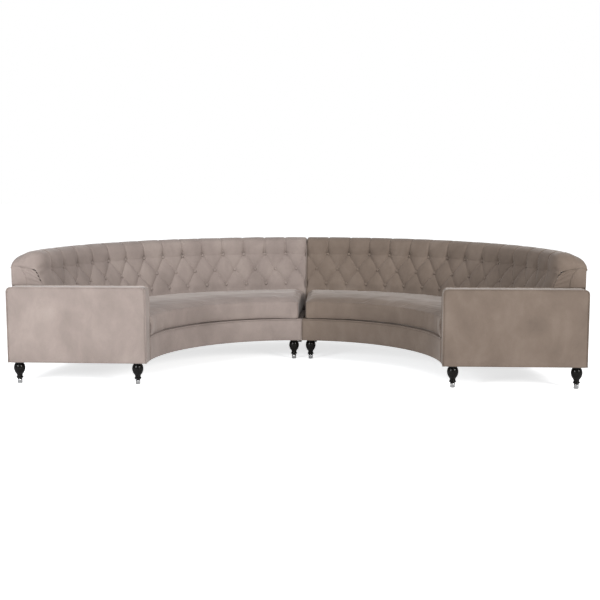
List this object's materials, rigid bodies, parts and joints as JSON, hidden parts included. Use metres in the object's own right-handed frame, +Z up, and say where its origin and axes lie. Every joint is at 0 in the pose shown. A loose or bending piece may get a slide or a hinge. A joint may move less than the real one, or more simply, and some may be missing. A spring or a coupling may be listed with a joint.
{
  "type": "curved sofa",
  "caption": "Semicircular sofa in two sections with a deep-buttoned, leaning rolled back, low flat arms, loose curved seat cushions and turned black legs with chrome feet.",
  "frame": {"origin": "on the floor, at the centre of the outline seen from above", "axes": "+X to the right as seen from the front, along the width; +Y towards the back; +Z up"},
  "size_m": [3.892, 1.9985, 0.893],
  "materials": {
    "velvet": "taupe velvet",
    "black_lacquer": "glossy black lacquer on turned wood",
    "chrome": "polished",
    "black_steel": "black painted steel",
    "frame_wood": "raw beech",
    "plywood": "raw plywood",
    "webbing": "elastic webbing",
    "dust_cloth": "black spunbond cloth"
  },
  "bodies": {
    "left_section": {"left_base_front_rail": "frame_wood", "left_base_rear_rail": "frame_wood", "left_deck_rear_rail": "frame_wood", "left_base_cross_rails": "frame_wood", "left_leg_blocks": "frame_wood", "left_seat_webbing": "webbing", "left_platform_deck": "velvet", "left_platform_border": "velvet", "left_platform_piping": "velvet", "left_dust_cover": "dust_cloth", "left_legs": "black_lacquer", "left_leg_ferrules": "chrome", "left_leg_plates": "black_steel", "left_back_ribs": "plywood", "left_back_top_rail": "frame_wood", "left_back_board": "plywood", "left_tufted_back": "velvet", "left_back_buttons": "velvet", "left_outside_back": "velvet", "left_back_end_facing": "velvet", "left_seam_panel": "velvet", "left_arm_frame": "plywood", "left_arm_cover": "velvet", "left_arm_piping": "velvet", "left_connector_sockets": "black_steel"},
    "right_section": {"right_base_front_rail": "frame_wood", "right_base_rear_rail": "frame_wood", "right_deck_rear_rail": "frame_wood", "right_base_cross_rails": "frame_wood", "right_leg_blocks": "frame_wood", "right_seat_webbing": "webbing", "right_platform_deck": "velvet", "right_platform_border": "velvet", "right_platform_piping": "velvet", "right_dust_cover": "dust_cloth", "right_legs": "black_lacquer", "right_leg_ferrules": "chrome", "right_leg_plates": "black_steel", "right_back_ribs": "plywood", "right_back_top_rail": "frame_wood", "right_back_board": "plywood", "right_tufted_back": "velvet", "right_back_buttons": "velvet", "right_outside_back": "velvet", "right_back_end_facing": "velvet", "right_seam_panel": "velvet", "right_arm_frame": "plywood", "right_arm_cover": "velvet", "right_arm_piping": "velvet", "right_connector_tongues": "black_steel"},
    "left_cushion": {"left_seat_cushion": "velvet"},
    "right_cushion": {"right_seat_cushion": "velvet"}
  },
  "joints": [
    {"name": "right_section_slide", "type": "slide", "parent": "left_section", "child": "right_section", "axis": [1, 0, 0], "range_m": [0, 0.4]},
    {"name": "left_cushion_lift", "type": "slide", "parent": "left_section", "child": "left_cushion", "axis": [0, 0, 1], "range_m": [0, 0.6]},
    {"name": "right_cushion_lift", "type": "slide", "parent": "right_section", "child": "right_cushion", "axis": [0, 0, 1], "range_m": [0, 0.6]}
  ]
}
